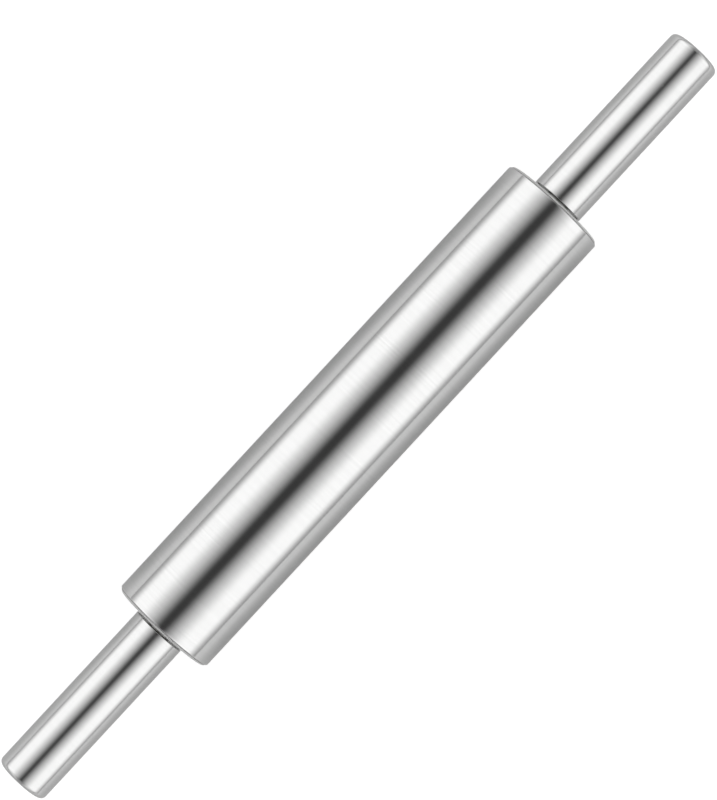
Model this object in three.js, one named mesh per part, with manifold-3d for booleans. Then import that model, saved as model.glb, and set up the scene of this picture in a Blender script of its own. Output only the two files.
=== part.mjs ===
// A metal rolling pin: a hollow steel barrel that turns on two ball bearings, and two hollow steel
// handles that one axle joins through the barrel.
// Lengths are in millimetres and angles in radians. +X runs along the pin and +Z is up.
// The origin is the centre of the barrel, on the axis that everything turns about.
import * as THREE from 'three';
import { mergeVertices } from 'three/addons/utils/BufferGeometryUtils.js';
import Module from 'manifold-3d';

// Barrel: a drawn tube with a cap pressed into each end
const barrelLength = 252;
const barrelDiameter = 51;
const barrelWall = 1.2;

// End caps: each stands a little proud of the tube and steps in from its rim
const capProud = 1.7;
const capStep = 0.6;
const capEdgeRadius = 1.5;
const capThickness = 2.2;
const capSkirtLength = 8;
const capSkirtWall = 1.2;
const capHoleGap = 1.2;
const capHoleChamfer = 0.5;

// Handles: deep-drawn cups with a closed, rounded outer end
const handleLength = 89;
const handleDiameter = 25.6;
const handleWall = 1;
const handleEdgeRadius = 2.4;
const handleGap = 2;

// Handle plugs: tapped inserts that close the handles' open ends and take the axle's threads
const plugLength = 14;
const plugRecess = 0.5;
const plugChamfer = 0.6;

// Spacer sleeves: between each bearing's inner ring and the handle's plug
const spacerWall = 1.8;

// Axle: a rod with a shouldered, smaller journal and thread at each end
const axleShoulder = 1;
const axleThreadLength = 12;
const axleChamfer = 0.8;

// Ball bearings of the common 8 by 22 by 7 size
const bearingBore = 8;
const bearingDiameter = 22;
const bearingWidth = 7;
const bearingChamfer = 0.3;
const raceDepth = 0.6;
const ballCount = 7;
const cageThickness = 1.5;
const cageEdge = 0.315;
const shieldSeatStep = 0.6;
const shieldThickness = 0.3;
const shieldRecess = 0.5;

// Bearing hubs: turned rings welded inside the caps
const hubWall = 2.4;
const hubFlangeWidth = 3.5;
const hubFlangeThickness = 1.5;
const hubLip = 1.2;

// Circlips: spring rings that hold the bearings in their hubs
const clipThickness = 1;
const clipWidth = 2;
const clipSeatDepth = 1;
const clipSeatGap = 0.15;
const clipEarDepth = 1.4;
const clipEarHoleDiameter = 1.2;
const clipOpeningAngle = THREE.MathUtils.degToRad(36);
const clipEarAngle = THREE.MathUtils.degToRad(15);

// Clearances: pressed or screwed fits, parts that turn past each other, and balls in their races
const fitGap = 0.05;
const runGap = 0.2;
const raceGap = 0.1;

// Facets round the pieces and along their rounded edges
const roundSides = 48;
const bearingSides = 32;
const edgeSteps = 3;
const raceSteps = 4;
const ballRings = 6;
const pocketSides = 12;
const clipSteps = 12;

// Radii
const barrelRadius = barrelDiameter / 2;
const barrelBoreRadius = barrelRadius - barrelWall;
const capRimRadius = barrelRadius - capStep;
const capSkirtRadius = barrelBoreRadius - fitGap;
const handleRadius = handleDiameter / 2;
const handleBoreRadius = handleRadius - handleWall;
const boreRadius = bearingBore / 2;
const journalRadius = boreRadius - fitGap;
const spacerRadius = boreRadius + spacerWall;
const capHoleRadius = spacerRadius + capHoleGap;
const bearingRadius = bearingDiameter / 2;
const seatRadius = bearingRadius + fitGap;

// Inside a bearing: the shields, the cage and the balls share its width, and the balls run midway between
// its bore and its outside
const shieldX = bearingWidth / 2 - shieldRecess - shieldThickness;
const cageWidth = 2 * (shieldX - runGap);
const pocketRadius = cageWidth / 2 - cageEdge;
const ballRadius = pocketRadius - runGap;
const raceRadius = ballRadius + raceGap;
const pitchRadius = (boreRadius + bearingRadius) / 2;
const innerShoulderRadius = pitchRadius - raceRadius + raceDepth;
const outerShoulderRadius = pitchRadius + raceRadius - raceDepth;
const shieldSeatRadius = outerShoulderRadius + shieldSeatStep;

// Places along the axis, on the right-hand side
const capFaceX = barrelLength / 2;
const tubeEndX = capFaceX - capProud;
const bearingOuterX = capFaceX - capThickness;
const bearingInnerX = bearingOuterX - bearingWidth;
const bearingCentreX = (bearingOuterX + bearingInnerX) / 2;
const handleInnerX = capFaceX + handleGap;
const handleOuterX = handleInnerX + handleLength;
const plugFaceX = handleInnerX + plugRecess;
const axleEndX = plugFaceX + axleThreadLength;

// Finishes
const satinSteel = { color: 0xc8c8c6, roughness: 0.2, metalness: 1 };
const turnedSteel = { color: 0xb4b4b2, roughness: 0.32, metalness: 1 };
const groundSteel = { color: 0xd2d2d0, roughness: 0.12, metalness: 1 };
const pressedSteel = { color: 0xa8a7a3, roughness: 0.4, metalness: 1 };
const springSteel = { color: 0x4b4a48, roughness: 0.45, metalness: 1 };

const wasm = await Module();
wasm.setup();

// A point of a turned outline: its place along the axis and its radius
function at(x, radius) {
  return new THREE.Vector2(radius, x);
}

// Points of an arc in a turned outline, from one angle to another. Angle 0 is away from the axis and a
// quarter turn is along it.
function arc(x, radius, size, from, to, steps) {
  const points = [];
  for (let i = 0; i <= steps; i += 1) {
    const angle = from + ((to - from) * i) / steps;
    points.push(at(x + size * Math.sin(angle), radius + size * Math.cos(angle)));
  }
  return points;
}

// A solid turned about the X axis. The outline runs with the material on its left.
function turned(outline, sides) {
  return new THREE.LatheGeometry(outline, sides).rotateZ(-Math.PI / 2);
}

// A ring turned about the X axis, whose outline closes on itself
function turnedRing(outline, sides) {
  return turned([...outline, outline[0]], sides);
}

// A plain ring between two radii and two places along the axis
function plainRing(fromX, toX, innerRadius, outerRadius, sides) {
  const start = [at(fromX, innerRadius), at(fromX, outerRadius)];
  const end = [at(toX, outerRadius), at(toX, innerRadius)];
  return turnedRing([...start, ...end], sides);
}

function solidOf(geometry) {
  const bare = geometry.clone();
  bare.deleteAttribute('normal');
  bare.deleteAttribute('uv');
  const merged = mergeVertices(bare);
  const mesh = new wasm.Mesh({
    numProp: 3,
    vertProperties: new Float32Array(merged.attributes.position.array),
    triVerts: new Uint32Array(merged.index.array),
  });
  return new wasm.Manifold(mesh);
}

function geometryOf(solid) {
  const mesh = solid.getMesh();
  const geometry = new THREE.BufferGeometry();
  geometry.setAttribute('position', new THREE.BufferAttribute(mesh.vertProperties, 3));
  geometry.setIndex(new THREE.BufferAttribute(mesh.triVerts, 1));
  geometry.computeVertexNormals();
  return geometry;
}

function piece(name, geometry, finish) {
  const mesh = new THREE.Mesh(geometry, new THREE.MeshStandardMaterial(finish));
  mesh.name = name;
  return mesh;
}

function barrelTube() {
  return plainRing(-tubeEndX, tubeEndX, barrelBoreRadius, barrelRadius, roundSides);
}

function axleRod() {
  const half = [
    at(bearingInnerX, boreRadius + axleShoulder),
    at(bearingInnerX, journalRadius),
    at(axleEndX - axleChamfer, journalRadius),
    at(axleEndX, journalRadius - axleChamfer),
    at(axleEndX, 0),
  ];
  const otherHalf = half.map((point) => at(-point.y, point.x)).reverse();
  return turned([...otherHalf, ...half], bearingSides);
}

// The cap's rim rests on the tube's end, its skirt fits the bore and its disc holds the bearing from outside
function endCap() {
  const skirtInnerRadius = capSkirtRadius - capSkirtWall;
  const skirtEndX = tubeEndX - capSkirtLength;
  const edge = Math.min(capEdgeRadius, capProud);
  const outline = [
    at(bearingOuterX, capHoleRadius),
    at(bearingOuterX, skirtInnerRadius),
    at(skirtEndX, skirtInnerRadius),
    at(skirtEndX, capSkirtRadius),
    at(tubeEndX, capSkirtRadius),
    at(tubeEndX, capRimRadius),
    ...arc(capFaceX - edge, capRimRadius - edge, edge, 0, Math.PI / 2, edgeSteps),
    at(capFaceX, capHoleRadius + capHoleChamfer),
    at(capFaceX - capHoleChamfer, capHoleRadius),
  ];
  return turnedRing(outline, roundSides);
}

// The bearing sits in the hub against the cap, and the circlip snaps into the hub's groove behind it
function bearingHub() {
  const bodyRadius = seatRadius + hubWall;
  const grooveRadius = seatRadius + clipSeatDepth;
  const grooveEndX = bearingInnerX - clipThickness - 2 * fitGap;
  const hubEndX = grooveEndX - hubLip;
  const outline = [
    at(hubEndX, seatRadius),
    at(hubEndX, bodyRadius),
    at(bearingOuterX - hubFlangeThickness, bodyRadius),
    at(bearingOuterX - hubFlangeThickness, bodyRadius + hubFlangeWidth),
    at(bearingOuterX, bodyRadius + hubFlangeWidth),
    at(bearingOuterX, seatRadius),
    at(bearingInnerX, seatRadius),
    at(bearingInnerX, grooveRadius),
    at(grooveEndX, grooveRadius),
    at(grooveEndX, seatRadius),
  ];
  return turnedRing(outline, bearingSides);
}

// An open spring ring with an eared end on each side of its opening, extruded along the axis
function circlip() {
  const outerRadius = seatRadius + clipSeatDepth - clipSeatGap;
  const innerRadius = outerRadius - clipWidth;
  const earRadius = innerRadius - clipEarDepth;
  const start = clipOpeningAngle / 2;
  const end = 2 * Math.PI - start;
  const shape = new THREE.Shape();
  shape.absarc(0, 0, outerRadius, start, end, false);
  shape.absarc(0, 0, earRadius, end, end - clipEarAngle, true);
  shape.absarc(0, 0, innerRadius, end - clipEarAngle, start + clipEarAngle, true);
  shape.absarc(0, 0, earRadius, start + clipEarAngle, start, true);
  shape.closePath();
  for (const angle of [start + clipEarAngle / 2, end - clipEarAngle / 2]) {
    const hole = new THREE.Path();
    const holeRadius = (earRadius + innerRadius) / 2;
    const y = holeRadius * Math.sin(angle);
    hole.absarc(holeRadius * Math.cos(angle), y, clipEarHoleDiameter / 2, 0, 2 * Math.PI, true);
    shape.holes.push(hole);
  }
  const options = { depth: clipThickness, bevelEnabled: false, curveSegments: clipSteps };
  const geometry = new THREE.ExtrudeGeometry(shape, options).rotateY(Math.PI / 2);
  return geometry.translate(bearingInnerX - fitGap - clipThickness, 0, 0);
}

// The race of a bearing ring: an arc round the balls, between the ring's shoulders. Its middle is at angle 0
// in the outer ring and at half a turn in the inner ring.
function race(middle) {
  const reach = Math.acos((raceRadius - raceDepth) / raceRadius);
  return arc(0, pitchRadius, raceRadius, middle + reach, middle - reach, raceSteps);
}

function bearingOuterRing() {
  const half = bearingWidth / 2;
  const outline = [
    at(-half, shieldSeatRadius),
    at(-half, bearingRadius - bearingChamfer),
    at(-half + bearingChamfer, bearingRadius),
    at(half - bearingChamfer, bearingRadius),
    at(half, bearingRadius - bearingChamfer),
    at(half, shieldSeatRadius),
    at(shieldX, shieldSeatRadius),
    at(shieldX, outerShoulderRadius),
    ...race(0),
    at(-shieldX, outerShoulderRadius),
    at(-shieldX, shieldSeatRadius),
  ];
  return turnedRing(outline, bearingSides);
}

function bearingInnerRing() {
  const half = bearingWidth / 2;
  const outline = [
    at(-half, boreRadius),
    at(-half, innerShoulderRadius - bearingChamfer),
    at(-half + bearingChamfer, innerShoulderRadius),
    ...race(Math.PI),
    at(half - bearingChamfer, innerShoulderRadius),
    at(half, innerShoulderRadius - bearingChamfer),
    at(half, boreRadius),
  ];
  return turnedRing(outline, bearingSides);
}

function ballAngle(index) {
  return (2 * Math.PI * index) / ballCount + Math.PI / 2;
}

// The cage keeps the balls apart: a ring with a round pocket for each ball
function bearingCage() {
  const innerRadius = pitchRadius - cageThickness / 2;
  const outerRadius = pitchRadius + cageThickness / 2;
  const pocketLength = 2 * cageThickness;
  let cage = solidOf(plainRing(-cageWidth / 2, cageWidth / 2, innerRadius, outerRadius, bearingSides));
  for (let i = 0; i < ballCount; i += 1) {
    const pocket = new THREE.CylinderGeometry(pocketRadius, pocketRadius, pocketLength, pocketSides);
    pocket.translate(0, pitchRadius, 0).rotateX(ballAngle(i));
    cage = cage.subtract(solidOf(pocket));
  }
  return geometryOf(cage);
}

// A thin washer that snaps into one side of the outer ring and stays clear of the inner ring
function bearingShield(fromX) {
  const innerRadius = innerShoulderRadius + runGap;
  return plainRing(fromX, fromX + shieldThickness, innerRadius, shieldSeatRadius - fitGap, bearingSides);
}

function spacerSleeve() {
  return plainRing(bearingOuterX, plugFaceX, boreRadius, spacerRadius, bearingSides);
}

function handleShell() {
  const endX = handleOuterX - handleWall;
  const innerEdgeRadius = handleEdgeRadius - handleWall;
  const innerEdge = arc(
    endX - innerEdgeRadius, handleBoreRadius - innerEdgeRadius, innerEdgeRadius, Math.PI / 2, 0, edgeSteps);
  const outerEdge = arc(
    handleOuterX - handleEdgeRadius, handleRadius - handleEdgeRadius, handleEdgeRadius, 0, Math.PI / 2,
    edgeSteps);
  const outline = [
    at(endX, 0),
    ...innerEdge,
    at(handleInnerX, handleBoreRadius),
    at(handleInnerX, handleRadius),
    ...outerEdge,
    at(handleOuterX, 0),
  ];
  return turned(outline, roundSides);
}

function handlePlug() {
  const radius = handleBoreRadius - fitGap;
  const plugEndX = plugFaceX + plugLength;
  const outline = [
    at(plugFaceX, boreRadius),
    at(plugFaceX, radius - plugChamfer),
    at(plugFaceX + plugChamfer, radius),
    at(plugEndX - plugChamfer, radius),
    at(plugEndX, radius - plugChamfer),
    at(plugEndX, boreRadius),
  ];
  return turnedRing(outline, roundSides);
}

function ballBearing(side) {
  const bearing = new THREE.Group();
  bearing.position.x = bearingCentreX;
  bearing.add(
    piece(`${side}_bearing_outer_ring`, bearingOuterRing(), groundSteel),
    piece(`${side}_bearing_inner_ring`, bearingInnerRing(), groundSteel),
    piece(`${side}_bearing_cage`, bearingCage(), pressedSteel),
    piece(`${side}_bearing_inner_shield`, bearingShield(-shieldX - shieldThickness), pressedSteel),
    piece(`${side}_bearing_outer_shield`, bearingShield(shieldX), pressedSteel),
  );
  for (let i = 0; i < ballCount; i += 1) {
    const ball = piece(
      `${side}_bearing_ball_${i + 1}`, new THREE.SphereGeometry(ballRadius, 2 * ballRings, ballRings),
      groundSteel);
    ball.position.set(0, pitchRadius * Math.cos(ballAngle(i)), pitchRadius * Math.sin(ballAngle(i)));
    bearing.add(ball);
  }
  return bearing;
}

function pinEnd(side) {
  const end = new THREE.Group();
  end.add(
    piece(`${side}_end_cap`, endCap(), satinSteel),
    piece(`${side}_bearing_hub`, bearingHub(), turnedSteel),
    piece(`${side}_hub_circlip`, circlip(), springSteel),
    ballBearing(side),
    piece(`${side}_spacer_sleeve`, spacerSleeve(), turnedSteel),
    piece(`${side}_handle_shell`, handleShell(), satinSteel),
    piece(`${side}_handle_plug`, handlePlug(), turnedSteel),
  );
  return end;
}

const rollingPin = new THREE.Group();
rollingPin.add(piece('barrel_tube', barrelTube(), satinSteel));
rollingPin.add(piece('axle_rod', axleRod(), turnedSteel));
rollingPin.add(pinEnd('right'));
const leftEnd = pinEnd('left');
leftEnd.rotation.z = Math.PI;
rollingPin.add(leftEnd);

export default rollingPin;
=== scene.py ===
"""The looks of a stainless steel rolling pin, built round its construction model.

Every piece of the pin is made here as a smooth turned mesh in the place of its construction solid, and gets a
procedural steel finish. The pin lies on a pale table in a light tent and is seen from straight above.
All lengths are in metres. +X runs along the pin and +Z is up.
"""

import logging
import math
from dataclasses import dataclass
from enum import Enum
from functools import cache, cached_property
from typing import Callable, Iterable, Mapping

import bmesh
import bpy
from mathutils import Matrix, Vector


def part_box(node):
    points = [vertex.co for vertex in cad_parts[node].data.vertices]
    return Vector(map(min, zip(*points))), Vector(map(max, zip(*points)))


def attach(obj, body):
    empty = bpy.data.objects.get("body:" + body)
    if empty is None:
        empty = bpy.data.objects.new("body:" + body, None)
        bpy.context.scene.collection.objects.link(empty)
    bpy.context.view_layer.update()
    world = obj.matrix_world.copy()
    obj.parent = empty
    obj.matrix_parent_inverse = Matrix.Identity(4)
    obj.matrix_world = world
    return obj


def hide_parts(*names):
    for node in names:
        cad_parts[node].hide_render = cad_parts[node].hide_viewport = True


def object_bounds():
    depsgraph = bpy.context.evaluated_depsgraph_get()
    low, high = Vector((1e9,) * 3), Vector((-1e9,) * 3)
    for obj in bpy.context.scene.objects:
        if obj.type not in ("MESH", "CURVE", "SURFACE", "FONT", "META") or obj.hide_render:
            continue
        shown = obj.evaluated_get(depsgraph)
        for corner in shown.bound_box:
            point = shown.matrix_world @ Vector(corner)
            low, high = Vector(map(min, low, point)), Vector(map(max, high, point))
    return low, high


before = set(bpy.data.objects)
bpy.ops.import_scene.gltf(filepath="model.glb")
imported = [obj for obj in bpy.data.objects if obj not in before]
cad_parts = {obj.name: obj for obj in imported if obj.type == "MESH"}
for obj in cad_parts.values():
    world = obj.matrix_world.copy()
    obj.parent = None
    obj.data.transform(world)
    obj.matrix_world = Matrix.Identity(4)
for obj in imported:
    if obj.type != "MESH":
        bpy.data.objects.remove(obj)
CAD_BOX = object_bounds()

LOG = logging.getLogger("rolling_pin")
MM = 0.001
TABLE_HEIGHT = CAD_BOX[0].z
SHARP_ANGLE = math.radians(28)
UNMOVED = Matrix.Identity(4)


class Body(Enum):
    """The bodies of the pin that move against each other."""

    HANDLES = "handles"
    BARREL = "barrel"
    LEFT_BALLS = "left_ball_set"
    RIGHT_BALLS = "right_ball_set"


class Slot(Enum):
    """The pin's kinds of steel."""

    SATIN = "satin_steel"
    TURNED = "turned_steel"
    BEARING = "bearing_steel"
    PRESSED = "pressed_steel"
    SPRING = "spring_steel"


class Side(Enum):
    """The two ends of the pin."""

    LEFT = "left"
    RIGHT = "right"

    @property
    def turn(self) -> Matrix:
        """The turn that takes a piece made at the right-hand end to this end."""
        return Matrix.Rotation(math.pi if self is Side.LEFT else 0.0, 4, "Z")

    @property
    def balls(self) -> Body:
        """The body of this end's balls and cage."""
        return Body.LEFT_BALLS if self is Side.LEFT else Body.RIGHT_BALLS

    def node(self, name: str) -> str:
        """The full name of one of this end's pieces."""
        return f"{self.value}_{name}"


@dataclass(frozen=True)
class Corner:
    """A corner of a turned outline.

    Attributes:
        x: Its place along the axis.
        radius: Its distance from the axis.
        round: The radius that it is rounded with, or 0 for a sharp corner.
        wear: How much wear it shows, from 0 to 1.
    """

    x: float
    radius: float
    round: float = 0.0
    wear: float = 0.0


def bow(x: float, radius: float, size: float, start: float, end: float, steps: int) -> list[Corner]:
    """Points of an arc in an outline.

    Args:
        x: The arc's centre along the axis.
        radius: The centre's distance from the axis.
        size: The arc's own radius.
        start: The angle of its first point, from straight outwards towards +X.
        end: The angle of its last point.
        steps: How many straight steps it has.

    Returns:
        The arc's points.
    """
    angles = [start + (end - start) * i / steps for i in range(steps + 1)]
    return [Corner(x + size * math.sin(a), radius + size * math.cos(a)) for a in angles]


def ring_corners(low: float, high: float, bore: float, radius: float, bore_edge: float,
                 edge: float) -> list[Corner]:
    """The corners of a plain ring.

    Args:
        low: Where it starts along the axis.
        high: Where it ends.
        bore: Its inner radius.
        radius: Its outer radius.
        bore_edge: The radius that its inner edges are rounded with.
        edge: The radius that its outer edges are rounded with.

    Returns:
        Its four corners.
    """
    return [
        Corner(low, bore, bore_edge),
        Corner(low, radius, edge),
        Corner(high, radius, edge),
        Corner(high, bore, bore_edge),
    ]


@dataclass
class Outline:
    """A turned piece's outline, made of corners that are rounded as they are added up.

    Attributes:
        corners: The corners in order. On a ring the last one joins the first.
        closed: True for a ring, False for an outline that starts and ends on the axis.
        arc_steps: How many straight steps a rounded corner has.
        wear_width: How far wear fades out from an edge along a flat stretch.
    """

    corners: list[Corner]
    closed: bool = True
    arc_steps: int = 8
    wear_width: float = 0.7 * MM

    def _rounded(self, before: Corner, corner: Corner, after: Corner) -> list[Corner]:
        """The points of one corner.

        Args:
            before: The corner before it.
            corner: The corner itself.
            after: The corner after it.

        Returns:
            The corner itself where it is sharp, or else the points of its arc.
        """
        if corner.round == 0:
            return [corner]
        place = Vector((corner.x, corner.radius))
        back = (Vector((before.x, before.radius)) - place).normalized()
        on = (Vector((after.x, after.radius)) - place).normalized()
        half = back.angle(on) / 2
        centre = place + (back + on).normalized() * corner.round / math.sin(half)
        start = place + back * corner.round / math.tan(half) - centre
        sweep = start.angle_signed(place + on * corner.round / math.tan(half) - centre)
        points = []
        for i in range(self.arc_steps + 1):
            spot = centre + Matrix.Rotation(-sweep * i / self.arc_steps, 2) @ start
            points.append(Corner(spot.x, spot.y, 0.0, 1.0))
        return points

    def points(self) -> list[Corner]:
        """Adds up the outline, with extra points near the edges so that wear and shading stay there.

        Returns:
            The outline's points in order.
        """
        count = len(self.corners)
        rough = []
        for i, corner in enumerate(self.corners):
            rough += self._rounded(self.corners[i - 1], corner, self.corners[(i + 1) % count])
        fine = []
        for start, end in zip(rough, rough[1:] + rough[:1] if self.closed else rough[1:]):
            fine.append(start)
            length = math.hypot(end.x - start.x, end.radius - start.radius)
            if length > 3 * self.wear_width:
                for share in (self.wear_width / length, 1 - self.wear_width / length):
                    x = start.x + (end.x - start.x) * share
                    fine.append(Corner(x, start.radius + (end.radius - start.radius) * share))
        if not self.closed:
            fine.append(rough[-1])
        return fine


def turned_mesh(name: str, outline: Outline, sides: int,
                groove: Callable[[float, float], float] | None = None) -> bpy.types.Mesh:
    """Turns an outline about the X axis.

    Args:
        name: The mesh's name.
        outline: The outline to turn.
        sides: How many facets the mesh has round the axis.
        groove: Gives how deep the surface is cut at a place along the axis and an angle round it.

    Returns:
        A smooth-shaded closed mesh with sharp edges marked and the attribute "wear" on its points.
    """
    mesh = bmesh.new()
    wear = mesh.verts.layers.float.new("wear")
    rings = []
    for point in outline.points():
        ring = []
        for i in range(sides if point.radius > 0 else 1):
            angle = 2 * math.pi * i / sides
            radius = point.radius - (groove(point.x, angle) if groove and point.radius > 0 else 0.0)
            vertex = mesh.verts.new((point.x, radius * math.sin(angle), radius * math.cos(angle)))
            vertex[wear] = point.wear
            ring.append(vertex)
        rings.append(ring)
    for ring, after in zip(rings, rings[1:] + rings[:1] if outline.closed else rings[1:]):
        for i in range(sides):
            j = (i + 1) % sides
            face = [ring[i % len(ring)], ring[j % len(ring)], after[j % len(after)], after[i % len(after)]]
            mesh.faces.new(list(dict.fromkeys(face)))
    return finished(name, mesh)


def shade(data: bpy.types.Mesh) -> None:
    """Shades a mesh smooth, but for its sharp edges."""
    data.shade_smooth()
    data.set_sharp_from_angle(angle=SHARP_ANGLE)


def finished(name: str, mesh: bmesh.types.BMesh) -> bpy.types.Mesh:
    """Turns a bmesh into mesh data with its faces pointing out, smooth but for its sharp edges.

    Args:
        name: The name of the new mesh data.
        mesh: The bmesh, which is freed.

    Returns:
        The mesh data.
    """
    bmesh.ops.recalc_face_normals(mesh, faces=mesh.faces)
    data = bpy.data.meshes.new(name)
    mesh.to_mesh(data)
    mesh.free()
    shade(data)
    return data


def in_scene(name: str, data: bpy.types.ID) -> bpy.types.Object:
    """Makes an object and links it to the scene.

    Args:
        name: The object's name.
        data: Its mesh, curve or camera data.

    Returns:
        The object.
    """
    made = bpy.data.objects.new(name, data)
    bpy.context.scene.collection.objects.link(made)
    return made


def evaluated_mesh(holder: bpy.types.Object) -> bpy.types.Mesh:
    """The mesh that an object's curve or modifiers give."""
    return bpy.data.meshes.new_from_object(holder.evaluated_get(bpy.context.evaluated_depsgraph_get()))


def cut_mesh(name: str, data: bpy.types.Mesh, cutters: Iterable[bpy.types.Mesh]) -> bpy.types.Mesh:
    """Cuts meshes out of a mesh.

    Args:
        name: The name of the new mesh data.
        data: The mesh to cut, which is used up.
        cutters: The meshes to take away, which are used up.

    Returns:
        The mesh that is left.
    """
    body = in_scene("uncut", data)
    tools = [in_scene("cutter", cutter) for cutter in cutters]
    for tool in tools:
        cut = body.modifiers.new("cut", "BOOLEAN")
        cut.operation = "DIFFERENCE"
        cut.solver = "EXACT"
        cut.object = tool
    result = evaluated_mesh(body)
    result.name = name
    for used in [body, *tools]:
        old = used.data
        bpy.data.objects.remove(used)
        bpy.data.meshes.remove(old)
    shade(result)
    return result


class Sockets:
    """Small helpers for building shader node trees."""

    def __init__(self, tree: bpy.types.NodeTree) -> None:
        """Starts to build in a node tree."""
        self.tree = tree

    def node(self, kind: str, **values: object) -> bpy.types.Node:
        """Adds a node and sets its properties and inputs.

        Args:
            kind: The node's type.
            **values: Properties, or inputs written as in_NAME with _ for each space.

        Returns:
            The new node.
        """
        made = self.tree.nodes.new(kind)
        for key, value in values.items():
            if key.startswith("in_"):
                made.inputs[key[3:].replace("_", " ")].default_value = value
            else:
                setattr(made, key, value)
        return made

    def link(self, source: bpy.types.NodeSocket, target: bpy.types.NodeSocket) -> None:
        """Links an output to an input."""
        self.tree.links.new(source, target)

    def math(self, operation: str, *terms: object) -> bpy.types.NodeSocket:
        """Adds a Math node.

        Args:
            operation: The node's operation.
            *terms: Its inputs, as sockets or numbers.

        Returns:
            The node's output.
        """
        made = self.node("ShaderNodeMath", operation=operation)
        for socket, term in zip(made.inputs, terms):
            if isinstance(term, bpy.types.NodeSocket):
                self.link(term, socket)
            else:
                socket.default_value = term
        return made.outputs[0]

    def range(self, value: bpy.types.NodeSocket, low: float, high: float, to_low: float = 0.0,
              to_high: float = 1.0) -> bpy.types.NodeSocket:
        """Maps one range of a value smoothly onto another, with the ends held.

        Args:
            value: The value to map.
            low: The value that gives to_low.
            high: The value that gives to_high.
            to_low: The result at the low end.
            to_high: The result at the high end.

        Returns:
            The mapped value.
        """
        made = self.node("ShaderNodeMapRange", interpolation_type="SMOOTHSTEP", in_From_Min=low,
                         in_From_Max=high, in_To_Min=to_low, in_To_Max=to_high)
        self.link(value, made.inputs["Value"])
        return made.outputs["Result"]

    def place(self) -> tuple[bpy.types.NodeSocket, Mapping[str, bpy.types.NodeSocket]]:
        """Adds the shaded point's place.

        Returns:
            The place whole, and its parts X, Y and Z.
        """
        whole = self.node("ShaderNodeTexCoord").outputs["Object"]
        parts = self.node("ShaderNodeSeparateXYZ")
        self.link(whole, parts.inputs[0])
        return whole, parts.outputs

    def noise(self, place: bpy.types.NodeSocket, seed: bpy.types.NodeSocket,
              **values: float) -> bpy.types.NodeSocket:
        """Adds a noise texture.

        Args:
            place: Where it is sampled.
            seed: What sets its pattern apart.
            **values: Its inputs, as for node.

        Returns:
            The noise, from 0 to 1.
        """
        made = self.node("ShaderNodeTexNoise", noise_dimensions="4D", **values)
        self.link(place, made.inputs["Vector"])
        self.link(seed, made.inputs["W"])
        return made.outputs["Fac"]


class GroupSockets(Sockets):
    """The same helpers for a new shader node group with named number sockets."""

    def __init__(self, name: str, inputs: dict[str, float], outputs: Iterable[str]) -> None:
        """Makes the group.

        Args:
            name: The group's name.
            inputs: Each input's name and its usual value.
            outputs: The outputs' names.
        """
        super().__init__(bpy.data.node_groups.new(name, "ShaderNodeTree"))
        sockets = self.tree.interface
        for label, value in inputs.items():
            socket = sockets.new_socket(name=label, in_out="INPUT", socket_type="NodeSocketFloat")
            socket.default_value = value
        for label in outputs:
            sockets.new_socket(name=label, in_out="OUTPUT", socket_type="NodeSocketFloat")
        self.given = self.node("NodeGroupInput").outputs
        self.result = self.node("NodeGroupOutput").inputs


class MaterialSockets(Sockets):
    """The same helpers for a new material, with nothing in it but its output."""

    def __init__(self, name: str) -> None:
        """Makes the material."""
        self.material = bpy.data.materials.new(name)
        self.material.use_nodes = True
        super().__init__(self.material.node_tree)
        self.tree.nodes.clear()
        self.surface = self.node("ShaderNodeOutputMaterial").inputs["Surface"]


@cache
def polish_lines_group() -> bpy.types.ShaderNodeTree:
    """Fine lines round the axis, as turning, grinding and polishing leave them.

    Returns:
        A group with inputs Per metre and Seed and outputs Lines and Scratches, both from 0 to 1.
    """
    build = GroupSockets("polish lines", {"Per metre": 9000.0, "Seed": 0.0}, ["Lines", "Scratches"])
    waver = 18.0
    parts = build.place()[1]
    squares = build.math("ADD", build.math("POWER", parts["Y"], 2.0), build.math("POWER", parts["Z"], 2.0))
    along = build.math("ADD", parts["X"], build.math("SQRT", squares))
    spot = build.node("ShaderNodeCombineXYZ")
    build.link(build.math("MULTIPLY", along, build.given["Per metre"]), spot.inputs["X"])
    for part in ("Y", "Z"):
        build.link(build.math("MULTIPLY", parts[part], waver), spot.inputs[part])
    lines = build.noise(spot.outputs[0], build.given["Seed"], in_Scale=1.0, in_Detail=4.0, in_Roughness=0.62)
    other_seed = build.math("ADD", build.given["Seed"], 7.0)
    sparse = build.noise(spot.outputs[0], other_seed, in_Scale=0.13, in_Detail=1.0)
    build.link(lines, build.result["Lines"])
    build.link(build.range(sparse, low=0.66, high=0.74), build.result["Scratches"])
    return build.tree


@cache
def handling_group() -> bpy.types.ShaderNodeTree:
    """Marks of use: faint smudges from fingers and cloth, and specks of dust.

    Returns:
        A group with inputs Dust and Seed and outputs Smudges and Dust, both from 0 to 1.
    """
    build = GroupSockets("handling marks", {"Dust": 0.5, "Seed": 0.0}, ["Smudges", "Dust"])
    place = build.place()[0]
    smudge_size = 22 * MM
    smudge = build.noise(place, build.given["Seed"], in_Scale=1 / smudge_size, in_Detail=3.0,
                         in_Roughness=0.55, in_Distortion=0.6)
    speck = build.node("ShaderNodeTexVoronoi", voronoi_dimensions="4D", in_Scale=420.0)
    build.link(place, speck.inputs["Vector"])
    build.link(build.given["Seed"], speck.inputs["W"])
    dust = build.range(speck.outputs["Distance"], low=0.05, high=0.09, to_low=1.0, to_high=0.0)
    build.link(build.range(smudge, low=0.46, high=0.72), build.result["Smudges"])
    build.link(build.math("MULTIPLY", dust, build.given["Dust"]), build.result["Dust"])
    return build.tree


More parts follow.
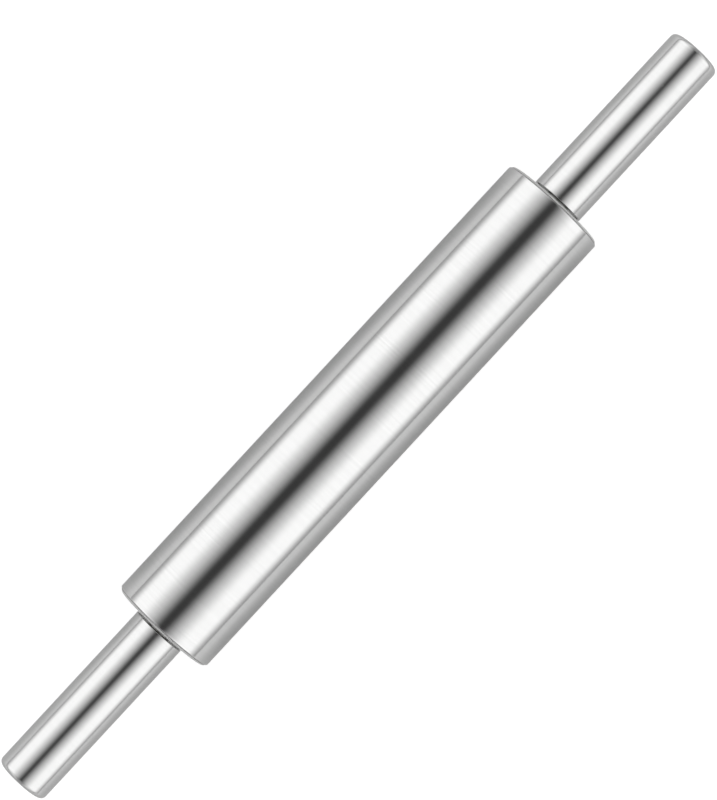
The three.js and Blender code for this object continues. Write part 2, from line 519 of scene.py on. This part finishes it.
@cache
def edge_wear_group() -> bpy.types.ShaderNodeTree:
    """Brighter, smoother metal along the edges, where hands and cloths rub.

    Returns:
        A group with inputs Amount and Seed and the output Wear, from 0 to 1.
    """
    build = GroupSockets("edge wear", {"Amount": 0.5, "Seed": 0.0}, ["Wear"])
    worn = build.node("ShaderNodeAttribute", attribute_name="wear").outputs["Fac"]
    place = build.place()[0]
    patch = build.noise(place, build.given["Seed"], in_Scale=260.0, in_Detail=3.0, in_Roughness=0.6)
    left = build.range(patch, low=0.32, high=0.62, to_low=0.35, to_high=1.0)
    amount = build.math("MULTIPLY", left, build.given["Amount"])
    build.link(build.math("MULTIPLY", worn, amount), build.result["Wear"])
    return build.tree


@dataclass(frozen=True)
class SteelFinish:
    """One finish of steel.

    Attributes:
        name: The material's name.
        slot: The kind of steel that it belongs to. Not used.
        colour: The metal's colour, as linear red, green and blue.
        roughness: How rough it is between the lines.
        streak: How much longer a highlight is along the axis than round it.
        lines_per_metre: How close the lines round the axis lie.
        line_depth: How deep the lines are.
        line_contrast: How much the lines change the roughness.
        grain: How much the lines change the colour.
        scratches: How much rougher the few deeper scratches are.
        smudge: How much rougher a smudge is.
        dust: How much dust lies on it.
        dust_roughness: How much rougher dust is.
        wear: How much the edges are worn.
        rubbed: How much smoother the worn edges are.
        shine: How much lighter the worn edges are.
        seed: What sets its pattern apart from the others'.
    """

    name: str
    slot: Slot
    colour: tuple[float, float, float]
    roughness: float
    streak: float = 0.6
    lines_per_metre: float = 9000.0
    line_depth: float = 0.9e-6
    line_contrast: float = 0.05
    grain: float = 0.17
    scratches: float = 0.04
    smudge: float = 0.03
    dust: float = 0.25
    dust_roughness: float = 0.35
    wear: float = 0.5
    rubbed: float = 0.4
    shine: float = 0.08
    seed: float = 0.0

    @cached_property
    def material(self) -> bpy.types.Material:
        """Builds the finish as a material, once.

        Returns:
            The material.
        """
        build = MaterialSockets(self.name)
        shader = build.node("ShaderNodeBsdfPrincipled", in_Metallic=1.0, in_Anisotropic=self.streak,
                            in_Anisotropic_Rotation=0.25)
        build.link(shader.outputs[0], build.surface)
        placed = (
            build.node("ShaderNodeGroup", node_tree=polish_lines_group(), in_Per_metre=self.lines_per_metre),
            build.node("ShaderNodeGroup", node_tree=handling_group(), in_Dust=self.dust),
            build.node("ShaderNodeGroup", node_tree=edge_wear_group(), in_Amount=self.wear),
        )
        marks = {}
        for group in placed:
            group.inputs["Seed"].default_value = self.seed
            marks |= {socket.name: socket for socket in group.outputs}
        swing = build.math("SUBTRACT", marks["Lines"], 0.5)
        rough = build.math("MULTIPLY_ADD", swing, 2 * self.line_contrast, self.roughness)
        shares = {
            "Scratches": self.scratches,
            "Smudges": self.smudge,
            "Dust": self.dust_roughness,
            "Wear": -self.rubbed * self.roughness,
        }
        for name, share in shares.items():
            rough = build.math("MULTIPLY_ADD", marks[name], share, rough)
        build.link(rough, shader.inputs["Roughness"])
        worn = build.math("MULTIPLY_ADD", marks["Wear"], self.shine, 1.0)
        tint = build.node("ShaderNodeVectorMath", operation="SCALE")
        tint.inputs[0].default_value = self.colour
        build.link(build.math("MULTIPLY_ADD", swing, 2 * self.grain, worn), tint.inputs["Scale"])
        build.link(tint.outputs[0], shader.inputs["Base Color"])
        bump = build.node("ShaderNodeBump", in_Distance=self.line_depth)
        build.link(build.math("SUBTRACT", marks["Lines"], marks["Scratches"]), bump.inputs["Height"])
        build.link(bump.outputs["Normal"], shader.inputs["Normal"])
        round_the_axis = build.node("ShaderNodeTangent", direction_type="RADIAL", axis="X")
        build.link(round_the_axis.outputs[0], shader.inputs["Tangent"])
        return build.material


def place_piece(node: str, data: bpy.types.Mesh, body: Body, steel: SteelFinish) -> None:
    """Puts a piece in the scene in the place of its construction solid.

    Args:
        node: The construction solid's name.
        data: The piece's mesh, in the pin's own frame.
        body: The body that it moves with.
        steel: Its finish.
    """
    piece = in_scene(f"{node}_steel", data)
    data.materials.clear()
    data.materials.append(steel.material)
    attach(piece, body.value)
    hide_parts(node)
    LOG.info("made %s with %d faces", piece.name, len(data.polygons))


def place_turned(side: Side, name: str, outline: Outline, sides: int, body: Body, steel: SteelFinish,
                 move: Matrix = UNMOVED) -> None:
    """Makes a piece from its outline and puts it at one of the ends.

    Args:
        side: The end.
        name: The piece's name without its side.
        outline: Its outline.
        sides: How many facets it has round the axis.
        body: The body that it moves with.
        steel: Its finish.
        move: What takes the outline to its place at the right-hand end.
    """
    data = turned_mesh(side.node(f"{name}_surface"), outline, sides)
    data.transform(side.turn @ move)
    place_piece(side.node(name), data, body, steel)


def reach(node: str) -> tuple[float, float, float]:
    """A turned solid's lowest and highest place along the axis, and its radius."""
    low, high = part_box(node)
    return low.x, high.x, max(high.y, high.z)


@dataclass
class Barrel:
    """The drawn tube that rolls the dough, and the turned caps pressed into its ends.

    Behind a fine seam, each cap's rim stands out of the tube and slopes down to the cap's face.
    """

    tube_steel: SteelFinish
    cap_steel: SteelFinish
    tube_wall: float = 1.2 * MM
    tube_edge: float = 0.5 * MM
    bore_edge: float = 0.15 * MM
    cap_thickness: float = 2.2 * MM
    cap_fillet: float = 1.0 * MM
    rim_width: float = 1.15 * MM
    rim_slope: float = 0.85 * MM
    rim_edge: float = 0.8 * MM
    rim_foot_edge: float = 0.03 * MM
    seam: float = 0.2 * MM
    skirt_wall: float = 1.2 * MM
    skirt_gap: float = 0.05 * MM
    skirt_bore_edge: float = 0.2 * MM
    skirt_edge: float = 0.3 * MM
    hole: float = 7.0 * MM
    hole_edge: float = 0.5 * MM
    hole_back_edge: float = 0.1 * MM
    cap_wear: float = 0.2 * MM
    sides: int = 256

    def tube(self) -> None:
        """Makes the tube."""
        radius = reach("barrel_tube")[2]
        end = reach("right_end_cap")[1] - self.rim_width
        corners = ring_corners(-end, end, radius - self.tube_wall, radius, self.bore_edge, self.tube_edge)
        data = turned_mesh("tube_surface", Outline(corners), self.sides)
        place_piece("barrel_tube", data, Body.BARREL, self.tube_steel)

    def cap(self, side: Side) -> None:
        """Makes the cap of one end.

        Args:
            side: The end.
        """
        low, face, rim = reach("right_end_cap")
        skirt = reach("barrel_tube")[2] - self.tube_wall - self.skirt_gap
        inner = skirt - self.skirt_wall
        back = face - self.cap_thickness
        foot = face - self.rim_width + self.seam
        outline = Outline([
            Corner(back, self.hole, self.hole_back_edge),
            Corner(back, inner, self.cap_fillet),
            Corner(low, inner, self.skirt_bore_edge),
            Corner(low, skirt, self.skirt_edge),
            Corner(foot, skirt),
            Corner(foot, rim, self.rim_foot_edge),
            Corner(face, rim - self.rim_slope, self.rim_edge),
            Corner(face, self.hole, self.hole_edge),
        ], wear_width=self.cap_wear)
        place_turned(side, "end_cap", outline, self.sides, Body.BARREL, self.cap_steel)

    def build(self) -> None:
        """Makes the tube and both caps."""
        self.tube()
        for side in Side:
            self.cap(side)


@dataclass
class Handle:
    """One handle's drawn shell with its closed, rounded end, and the tapped plug in its mouth."""

    side: Side
    shell_steel: SteelFinish
    plug_steel: SteelFinish
    wall: float = 1.0 * MM
    end_edge: float = 2.4 * MM
    end_steps: int = 12
    lip: float = 0.2 * MM
    plug_hole: float = 4.0 * MM
    plug_hole_edge: float = 0.1 * MM
    plug_edge: float = 0.6 * MM
    sides: int = 192

    def shell(self) -> None:
        """Makes the shell."""
        mouth, end, radius = reach("right_handle_shell")
        bore = radius - self.wall
        outline = Outline([
            Corner(end - self.wall, 0.0),
            Corner(end - self.wall, bore, self.end_edge - self.wall),
            Corner(mouth, bore, self.lip),
            Corner(mouth, radius, self.lip),
            Corner(end, radius, self.end_edge),
            Corner(end, 0.0),
        ], closed=False, arc_steps=self.end_steps)
        place_turned(self.side, "handle_shell", outline, self.sides, Body.HANDLES, self.shell_steel)

    def plug(self) -> None:
        """Makes the plug."""
        low, high, radius = reach("right_handle_plug")
        corners = ring_corners(low, high, self.plug_hole, radius, self.plug_hole_edge, self.plug_edge)
        place_turned(self.side, "handle_plug", Outline(corners), self.sides, Body.HANDLES, self.plug_steel)

    def build(self) -> None:
        """Makes the shell and its plug."""
        self.shell()
        self.plug()


@dataclass
class Axle:
    """The rod through the barrel, with a journal and a cut thread at each end, and its spacer sleeves."""

    steel: SteelFinish
    journal: float = 3.95 * MM
    chamfer: float = 0.8 * MM
    thread_length: float = 12.0 * MM
    pitch: float = 1.25 * MM
    thread_depth: float = 0.62 * MM
    thread_runout: float = 1.6 * MM
    thread_steps: int = 10
    crest_share: float = 0.14
    flank_share: float = 0.7
    shoulder_edge: float = 0.3 * MM
    sleeve_bore: float = 4.0 * MM
    sleeve_bore_edge: float = 0.15 * MM
    sleeve_edge: float = 0.2 * MM
    sleeve_wear: float = 0.4 * MM
    sides: int = 72

    def __post_init__(self) -> None:
        """Reads the rod's end and radius once."""
        _, self.end, self.radius = reach("axle_rod")

    def _thread(self, x: float, angle: float) -> float:
        """How deep the thread is cut.

        Args:
            x: The place along the axis.
            angle: The angle round it.

        Returns:
            The depth below the journal.
        """
        inside = (abs(x) - (self.end - self.thread_length)) / self.thread_runout
        if inside <= 0:
            return 0.0
        turn = (x / self.pitch + angle / (2 * math.pi)) % 1.0
        flank = min(1.0, max(0.0, (abs(2 * turn - 1) - self.crest_share) / self.flank_share))
        below_crest = max(0.0, self.chamfer - (self.end - abs(x)))
        return max(0.0, self.thread_depth * min(1.0, inside) * flank - below_crest)

    def rod(self) -> None:
        """Makes the rod."""
        shoulder = reach("right_bearing_inner_ring")[0]
        thread_start = self.end - self.thread_length
        count = round((self.thread_length - self.chamfer) / self.pitch * self.thread_steps)
        step = (self.end - self.chamfer - thread_start) / count
        half = [
            Corner(shoulder, self.radius, self.shoulder_edge),
            Corner(shoulder, self.journal),
            *(Corner(thread_start + step * i, self.journal) for i in range(count + 1)),
            Corner(self.end, self.journal - self.chamfer),
            Corner(self.end, 0.0),
        ]
        other = [Corner(-corner.x, corner.radius, corner.round) for corner in reversed(half)]
        data = turned_mesh("axle_surface", Outline(other + half, closed=False), self.sides, self._thread)
        place_piece("axle_rod", data, Body.HANDLES, self.steel)

    def sleeve(self, side: Side) -> None:
        """Makes one end's spacer sleeve.

        Args:
            side: The end.
        """
        low, high, radius = reach("right_spacer_sleeve")
        corners = ring_corners(low, high, self.sleeve_bore, radius, self.sleeve_bore_edge, self.sleeve_edge)
        outline = Outline(corners, wear_width=self.sleeve_wear)
        place_turned(side, "spacer_sleeve", outline, self.sides, Body.HANDLES, self.steel)

    def build(self) -> None:
        """Makes the rod and both sleeves."""
        self.rod()
        for side in Side:
            self.sleeve(side)


@dataclass
class BallBearing:
    """One end's ball bearing: two ground rings, a pressed cage with seven balls, and two shields."""

    side: Side
    ground_steel: SteelFinish
    pressed_steel: SteelFinish
    bore: float = 4.0 * MM
    bore_edge: float = 0.2 * MM
    inner_edge: float = 0.25 * MM
    outer_edge: float = 0.3 * MM
    ring_wear: float = 0.3 * MM
    race_depth: float = 0.6 * MM
    race_gap: float = 0.1 * MM
    race_steps: int = 12
    seat_step: float = 0.6 * MM
    seat_edge: float = 0.08 * MM
    seat_gap: float = 0.05 * MM
    shield_recess: float = 0.5 * MM
    shield_thickness: float = 0.3 * MM
    shield_gap: float = 0.2 * MM
    shield_edge: float = 0.05 * MM
    shield_wear: float = 0.2 * MM
    bead_height: float = 0.11 * MM
    bead_foot: float = 0.55 * MM
    bead_top: float = 0.3 * MM
    bead_edge: float = 0.2 * MM
    cage_thickness: float = 1.5 * MM
    cage_edge: float = 0.15 * MM
    cage_steps: int = 4
    cage_wear: float = 0.4 * MM
    pocket_gap: float = 0.2 * MM
    balls: int = 7
    ball_steps: int = 28
    ball_sides: int = 48
    sides: int = 128

    def __post_init__(self) -> None:
        """Works out what the bearing's pieces share."""
        low, high, self.radius = reach("right_bearing_outer_ring")
        ball_low, ball_high, _ = reach("right_bearing_ball_1")
        self.middle = Matrix.Translation(((low + high) / 2, 0, 0))
        self.half = (high - low) / 2
        self.pitch = (self.bore + self.radius) / 2
        self.ball = (ball_high - ball_low) / 2
        self.race = self.ball + self.race_gap
        self.inner_shoulder = self.pitch - self.race + self.race_depth
        self.outer_shoulder = self.pitch + self.race - self.race_depth
        self.shield_x = self.half - self.shield_recess - self.shield_thickness

    def _race(self, middle: float) -> list[Corner]:
        """The race of a ring, between its shoulders.

        Args:
            middle: The angle of its middle.

        Returns:
            Its points.
        """
        half = math.acos((self.race - self.race_depth) / self.race)
        return bow(0, self.pitch, self.race, middle + half, middle - half, self.race_steps)

    def rings(self) -> None:
        """Makes the outer and the inner ring."""
        seat = self.outer_shoulder + self.seat_step
        outer = Outline([
            *ring_corners(-self.half, self.half, seat, self.radius, self.seat_edge, self.outer_edge),
            Corner(self.shield_x, seat),
            Corner(self.shield_x, self.outer_shoulder, self.seat_edge),
            *self._race(0),
            Corner(-self.shield_x, self.outer_shoulder, self.seat_edge),
            Corner(-self.shield_x, seat),
        ], wear_width=self.ring_wear)
        inner = Outline([
            Corner(-self.half, self.bore, self.bore_edge),
            Corner(-self.half, self.inner_shoulder, self.inner_edge),
            *self._race(math.pi),
            Corner(self.half, self.inner_shoulder, self.inner_edge),
            Corner(self.half, self.bore, self.bore_edge),
        ], wear_width=self.ring_wear)
        for name, outline, body in (("outer_ring", outer, Body.BARREL), ("inner_ring", inner, Body.HANDLES)):
            place_turned(self.side, f"bearing_{name}", outline, self.sides, body, self.ground_steel,
                         self.middle)

    def shields(self) -> None:
        """Makes the two shields, each with a pressed bead round its middle."""
        inner = self.inner_shoulder + self.shield_gap
        outer = self.outer_shoulder + self.seat_step - self.seat_gap
        middle = (inner + outer) / 2
        low, high = self.shield_x, self.shield_x + self.shield_thickness
        plate = high - self.bead_height
        outline = Outline([
            Corner(low, outer, self.shield_edge),
            Corner(low, inner, self.shield_edge),
            Corner(plate, inner, self.shield_edge),
            Corner(plate, middle - self.bead_foot, self.bead_edge),
            Corner(high, middle - self.bead_top, self.bead_edge),
            Corner(high, middle + self.bead_top, self.bead_edge),
            Corner(plate, middle + self.bead_foot, self.bead_edge),
            Corner(plate, outer, self.shield_edge),
        ], wear_width=self.shield_wear)
        for name, turn in (("outer_shield", 0.0), ("inner_shield", math.pi)):
            place_turned(self.side, f"bearing_{name}", outline, self.sides, Body.BARREL, self.pressed_steel,
                         self.middle @ Matrix.Rotation(turn, 4, "Z"))

    def _ball_angle(self, index: int) -> float:
        """The angle of a ball round the axis, from +Y towards +Z."""
        return 2 * math.pi * index / self.balls + math.pi / 2

    def cage(self) -> None:
        """Makes the cage, with a round pocket for each ball."""
        low, high, _ = reach("right_bearing_cage")
        half = (high - low) / 2
        inner = self.pitch - self.cage_thickness / 2
        outer = self.pitch + self.cage_thickness / 2
        corners = ring_corners(-half, half, inner, outer, self.cage_edge, self.cage_edge)
        ring = Outline(corners, arc_steps=self.cage_steps, wear_width=self.cage_wear)
        pocket = Outline([
            Corner(-self.cage_thickness, 0.0),
            Corner(-self.cage_thickness, self.ball + self.pocket_gap),
            Corner(self.cage_thickness, self.ball + self.pocket_gap),
            Corner(self.cage_thickness, 0.0),
        ], closed=False)
        out = Matrix.Translation((0, self.pitch, 0)) @ Matrix.Rotation(math.pi / 2, 4, "Z")
        cutters = []
        for i in range(self.balls):
            cutter = turned_mesh("pocket", pocket, self.ball_sides)
            cutter.transform(Matrix.Rotation(self._ball_angle(i), 4, "X") @ out)
            cutters.append(cutter)
        blank = turned_mesh("cage_blank", ring, self.sides)
        data = cut_mesh(self.side.node("cage_surface"), blank, cutters)
        data.transform(self.side.turn @ self.middle)
        place_piece(self.side.node("bearing_cage"), data, self.side.balls, self.pressed_steel)

    def ball_set(self) -> None:
        """Makes the balls."""
        outline = Outline([
            Corner(-self.ball, 0.0),
            *bow(0, 0, self.ball, -math.pi / 2, math.pi / 2, self.ball_steps)[1:-1],
            Corner(self.ball, 0.0),
        ], closed=False)
        for i in range(self.balls):
            angle = self._ball_angle(i)
            spot = (0, self.pitch * math.cos(angle), self.pitch * math.sin(angle))
            place_turned(self.side, f"bearing_ball_{i + 1}", outline, self.ball_sides, self.side.balls,
                         self.ground_steel, self.middle @ Matrix.Translation(spot))

    def build(self) -> None:
        """Makes the whole bearing."""
        self.rings()
        self.shields()
        self.cage()
        self.ball_set()


@dataclass
class BearingSeat:
    """One end's turned hub, welded inside the cap, and the circlip that keeps the bearing in it."""

    side: Side
    hub_steel: SteelFinish
    clip_steel: SteelFinish
    seat: float = 11.05 * MM
    seat_edge: float = 0.1 * MM
    hub_wall: float = 2.4 * MM
    hub_edge: float = 0.3 * MM
    hub_wear: float = 0.4 * MM
    flange_thickness: float = 1.5 * MM
    flange_edge: float = 0.2 * MM
    groove_depth: float = 1.0 * MM
    groove_width: float = 1.1 * MM
    groove_edge: float = 0.05 * MM
    clip_gap: float = 0.15 * MM
    clip_width: float = 2.0 * MM
    ear_depth: float = 1.4 * MM
    ear_hole: float = 0.6 * MM
    opening: float = math.radians(36)
    ear_angle: float = math.radians(15)
    outer_steps: int = 120
    inner_steps: int = 110
    ear_steps: int = 10
    hole_steps: int = 24
    bevel: float = 0.08 * MM
    bevel_steps: int = 2
    weld: float = 0.002 * MM
    sides: int = 160

    def hub(self) -> None:
        """Makes the hub."""
        low, high, flange = reach("right_bearing_hub")
        body = self.seat + self.hub_wall
        flange_x = high - self.flange_thickness
        groove_end = reach("right_bearing_outer_ring")[0]
        groove = self.seat + self.groove_depth
        outline = Outline([
            Corner(low, self.seat, self.hub_edge),
            Corner(low, body, self.hub_edge),
            Corner(flange_x, body, self.hub_edge),
            Corner(flange_x, flange, self.flange_edge),
            Corner(high, flange, self.flange_edge),
            Corner(high, self.seat, self.seat_edge),
            Corner(groove_end, self.seat, self.groove_edge),
            Corner(groove_end, groove),
            Corner(groove_end - self.groove_width, groove),
            Corner(groove_end - self.groove_width, self.seat, self.groove_edge),
        ], wear_width=self.hub_wear)
        place_turned(self.side, "bearing_hub", outline, self.sides, Body.BARREL, self.hub_steel)

    def _clip_outlines(self) -> list[list[tuple[float, float]]]:
        """Draws the circlip flat, with its opening towards its own +X.

        Returns:
            The points of its outline and of its two holes.
        """
        outer = self.seat + self.groove_depth - self.clip_gap
        inner = outer - self.clip_width
        ear = inner - self.ear_depth
        start = self.opening / 2
        end = 2 * math.pi - start
        sweeps = (
            (outer, start, end, self.outer_steps),
            (ear, end, end - self.ear_angle, self.ear_steps),
            (inner, end - self.ear_angle, start + self.ear_angle, self.inner_steps),
            (ear, start + self.ear_angle, start, self.ear_steps),
        )
        rim = []
        for radius, first, last, steps in sweeps:
            for i in range(steps + 1):
                angle = first + (last - first) * i / steps
                rim.append((radius * math.cos(angle), radius * math.sin(angle)))
        outlines = [rim]
        for sign in (-1, 1):
            angle = sign * (self.opening + self.ear_angle) / 2
            x = (ear + inner) / 2 * math.cos(angle)
            y = (ear + inner) / 2 * math.sin(angle)
            hole = []
            for i in range(self.hole_steps):
                turn = 2 * math.pi * i / self.hole_steps
                hole.append((x + self.ear_hole * math.cos(turn), y + self.ear_hole * math.sin(turn)))
            outlines.append(hole)
        return outlines

    def clip(self) -> None:
        """Makes the circlip: a flat outline with two holes, given its thickness and a fine bevel."""
        low, high, _ = reach("right_hub_circlip")
        curve = bpy.data.curves.new("clip_outline", "CURVE")
        curve.dimensions = "2D"
        curve.fill_mode = "BOTH"
        curve.extrude = (high - low) / 2 - self.bevel
        curve.bevel_depth = self.bevel
        curve.offset = -self.bevel
        curve.bevel_resolution = self.bevel_steps
        for points in self._clip_outlines():
            spline = curve.splines.new("POLY")
            spline.points.add(len(points) - 1)
            spline.use_cyclic_u = True
            for point, (x, y) in zip(spline.points, points):
                point.co = (x, y, 0.0, 1.0)
        holder = in_scene("clip_outline", curve)
        flat = evaluated_mesh(holder)
        bpy.data.objects.remove(holder)
        mesh = bmesh.new()
        mesh.from_mesh(flat)
        bpy.data.meshes.remove(flat)
        bmesh.ops.remove_doubles(mesh, verts=mesh.verts, dist=self.weld)
        data = finished(self.side.node("clip_surface"), mesh)
        upright = Matrix.Translation(((low + high) / 2, 0, 0)) @ Matrix.Rotation(math.pi / 2, 4, "Y")
        data.transform(self.side.turn @ upright)
        place_piece(self.side.node("hub_circlip"), data, Body.BARREL, self.clip_steel)

    def build(self) -> None:
        """Makes the hub and its circlip."""
        self.hub()
        self.clip()


@dataclass
class Table:
    """The pale sheet that the pin lies on. It shows white to the camera and keeps the pin's shadow.

    Attributes:
        half: Half its side.
        colour: Its own grey.
        white: What it adds to its light for the camera.
        mirrored_white: What it adds for reflections, away from the pin. Towards the pin this glow fades,
            which paints a shadow of the pin into the metal's reflections of the table.
        near: Where that starts, from the pin's axis; inside it the painted shadow is whole.
        far: Where it is whole, and the painted shadow ends.
        beside_handles: What it adds for reflections right beside the handles, so the painted shadow there is
            lighter than beside the barrel.
        barrel_end: Where along the pin that light comes up.
    """

    half: float = 4.0
    colour: float = 0.6
    white: float = 0.65
    mirrored_white: float = 0.3
    near: float = 0.02
    far: float = 0.16
    beside_handles: float = 0.12
    barrel_end: tuple[float, float] = (0.114, 0.136)

    def build(self) -> None:
        """Lays the table under the barrel."""
        mesh = bmesh.new()
        corners = ((-1, -1), (1, -1), (1, 1), (-1, 1))
        mesh.faces.new([mesh.verts.new((x * self.half, y * self.half, TABLE_HEIGHT)) for x, y in corners])
        table = in_scene("table", finished("table_surface", mesh))
        table.data.materials.append(self.material())

    def material(self) -> bpy.types.Material:
        """A matt grey sheet with white added for the camera and for reflections.

        Returns:
            The material.
        """
        build = MaterialSockets("table_sheet")
        matt = build.node("ShaderNodeBsdfDiffuse", in_Color=(self.colour, self.colour, self.colour, 1.0))
        parts = build.place()[1]
        # Painted shadow: for reflections the table glows white far from the pin, and the glow fades towards
        # the pin's axis, so the metal mirrors a darker table beside it. Beside the handles the fade stops at
        # beside_handles, a lighter painted shadow than beside the barrel.
        ends = build.range(build.math("ABSOLUTE", parts["X"]), *self.barrel_end, 0.0, self.beside_handles)
        away = build.range(build.math("ABSOLUTE", parts["Y"]), self.near, self.far)
        added = build.math("MULTIPLY_ADD", build.math("SUBTRACT", self.mirrored_white, ends), away, ends)
        path = build.node("ShaderNodeLightPath").outputs
        reflected_glow_with_painted_shadow = build.math("MULTIPLY", path["Is Glossy Ray"], added)
        glow = build.node("ShaderNodeEmission")
        build.link(build.math("MULTIPLY_ADD", path["Is Camera Ray"], self.white, reflected_glow_with_painted_shadow),
                   glow.inputs["Strength"])
        both = build.node("ShaderNodeAddShader")
        build.link(matt.outputs[0], both.inputs[0])
        build.link(glow.outputs[0], both.inputs[1])
        build.link(both.outputs[0], build.surface)
        return build.material


@dataclass
class Tent:
    """A half-round tent of lit cloth over the pin, which the camera looks through.

    Attributes:
        radius: How far its skin is from the line on the table under the pin.
        half_length: Half its length.
        sides: How many facets its arch has.
        dark: The cloth's light right over the pin, where the camera's slit is.
        bright: Its light well beside the slit.
        inner: The share of that light which comes from the slit's own edge.
        inner_edge: From which angle to which angle from the top, in degrees, that share comes up.
        outer_edge: The same for the rest of the light.
        taper: By how many degrees the slit is narrower over the handles than over the barrel.
        taper_ends: Where along the pin it narrows.
        slit_end: How far the slit runs along the pin.
        end_light: The least light of the cloth beyond the slit's ends.
        fade_start: Where along the pin the sides' light starts to fade.
        end_fade: What is left of it at the tent's ends.
        hem_height: How far up from the table the cloth darkens.
        hem: Its light at the table.
    """

    radius: float = 0.44
    half_length: float = 0.6
    sides: int = 96
    dark: float = 0.06
    bright: float = 1.62
    inner: float = 0.7
    inner_edge: tuple[float, float] = (3.0, 27.0)
    outer_edge: tuple[float, float] = (19.0, 51.5)
    taper: float = 3.7
    taper_ends: tuple[float, float] = (0.15, 0.19)
    slit_end: float = 0.45
    end_light: float = 0.39
    fade_start: float = 0.25
    end_fade: float = 0.66
    hem_height: float = 0.172
    hem: float = 0.5

    def build(self) -> None:
        """Stands the tent on the table."""
        mesh = bmesh.new()
        rows = []
        for x in (-self.half_length, self.half_length):
            row = []
            for i in range(self.sides + 1):
                angle = math.pi * (i / self.sides - 0.5)
                height = TABLE_HEIGHT + self.radius * math.cos(angle)
                row.append(mesh.verts.new((x, self.radius * math.sin(angle), height)))
            rows.append(row)
        for i in range(self.sides):
            mesh.faces.new((rows[0][i], rows[0][i + 1], rows[1][i + 1], rows[1][i]))
        for row in rows:
            mesh.faces.new(row)
        tent = in_scene("tent", finished("tent_skin", mesh))
        tent.visible_camera = False
        tent.data.materials.append(self.material())

    def material(self) -> bpy.types.Material:
        """Lit cloth: dark at the slit over the pin, bright on both sides and dark again at its hem.

        Returns:
            The material.
        """
        build = MaterialSockets("tent_cloth")
        parts = build.place()[1]
        height = build.math("SUBTRACT", parts["Z"], TABLE_HEIGHT)
        along = build.math("ABSOLUTE", parts["X"])
        angle = build.math("DEGREES", build.math("ARCTAN2", build.math("ABSOLUTE", parts["Y"]), height))
        angle = build.math("ADD", angle, build.range(along, *self.taper_ends, 0.0, self.taper))
        inner = build.range(angle, *self.inner_edge, self.dark, self.dark + self.inner)
        outer = build.range(angle, *self.outer_edge, 0.0, self.bright - self.dark - self.inner)
        arch = build.math("ADD", inner, outer)
        foot = build.range(height, 0.0, self.hem_height, self.hem / self.bright, 1.0)
        least = build.range(along, self.slit_end, self.half_length, 0.0, self.end_light)
        fade = build.range(along, self.fade_start, self.half_length, 1.0, self.end_fade)
        sides = build.math("MULTIPLY", build.math("MULTIPLY", arch, foot), fade)
        glow = build.node("ShaderNodeEmission")
        build.link(build.math("MAXIMUM", sides, least), glow.inputs["Strength"])
        build.link(glow.outputs[0], build.surface)
        return build.material


@dataclass
class Camera:
    """The camera that hangs over the pin and looks straight down.

    Attributes:
        height: How high it is over the pin's axis.
        lens: Its focal length in millimetres.
        sensor: The length of its sensor in millimetres.
        turn: How far it is turned about the vertical, in degrees.
        shift: How far its picture is shifted to the right and up, as shares of the picture's height.
        sight: How far it sees.
    """

    height: float = 1.442
    lens: float = 148.5
    sensor: float = 36.0
    turn: float = 47.19
    shift: tuple[float, float] = (0.00034, 0.0202)
    sight: float = 50.0

    def build(self) -> None:
        """Hangs the camera and makes the scene use it."""
        data = bpy.data.cameras.new("camera")
        data.lens = self.lens
        data.sensor_width = self.sensor
        data.clip_end = self.sight
        data.shift_x, data.shift_y = self.shift
        camera = in_scene("camera", data)
        turn = Matrix.Rotation(math.radians(-self.turn), 4, "Z")
        camera.matrix_world = Matrix.Translation((0, 0, self.height)) @ turn
        bpy.context.scene.camera = camera


def light_the_room() -> None:
    """Fills the room round the tent with plain white light."""
    world = bpy.data.worlds.new("room")
    world.use_nodes = True
    background = world.node_tree.nodes["Background"]
    background.inputs["Color"].default_value = (1.0, 1.0, 1.0, 1.0)
    background.inputs["Strength"].default_value = 1.0
    bpy.context.scene.world = world
    bpy.context.scene.view_settings.view_transform = "Standard"


BARREL_SATIN = SteelFinish("barrel_satin", Slot.SATIN, (0.585, 0.585, 0.583), 0.13, seed=1.0)
HANDLE_SATIN = SteelFinish("handle_satin", Slot.SATIN, (0.585, 0.585, 0.583), 0.18, seed=2.0)
CAP_TURNED = SteelFinish("cap_turned", Slot.SATIN, (0.68, 0.68, 0.676), 0.88, streak=0.0,
                         lines_per_metre=2600.0, line_depth=5.0e-6, line_contrast=0.1, wear=1.0,
                         rubbed=0.8, seed=2.5)
LATHE_TURNED = SteelFinish("lathe_turned", Slot.TURNED, (0.44, 0.44, 0.43), 0.3, streak=0.7,
                           lines_per_metre=3200.0, line_depth=2.0e-6, line_contrast=0.08, seed=3.0)
GROUND = SteelFinish("ground_bearing_steel", Slot.BEARING, (0.64, 0.64, 0.63), 0.07, streak=0.2,
                     lines_per_metre=14000.0, line_contrast=0.01, smudge=0.01, dust=0.05, seed=4.0)
PRESSED = SteelFinish("pressed_sheet", Slot.PRESSED, (0.34, 0.335, 0.315), 0.38, streak=0.1,
                      lines_per_metre=1500.0, smudge=0.06, wear=0.8, seed=5.0)
BLACKENED = SteelFinish("blackened_spring", Slot.SPRING, (0.07, 0.07, 0.068), 0.36, streak=0.0,
                        lines_per_metre=900.0, line_contrast=0.06, smudge=0.1, wear=1.0, seed=6.0)


def main() -> None:
    """Builds the studio and then the pin, piece by piece."""
    logging.basicConfig(level=logging.INFO, format="%(name)s: %(message)s")
    Camera().build()
    Table().build()
    Tent().build()
    light_the_room()
    Barrel(BARREL_SATIN, CAP_TURNED).build()
    Axle(LATHE_TURNED).build()
    for side in Side:
        Handle(side, HANDLE_SATIN, LATHE_TURNED).build()
        BearingSeat(side, LATHE_TURNED, BLACKENED).build()
        BallBearing(side, GROUND, PRESSED).build()


if __name__ == "__main__":
    main()
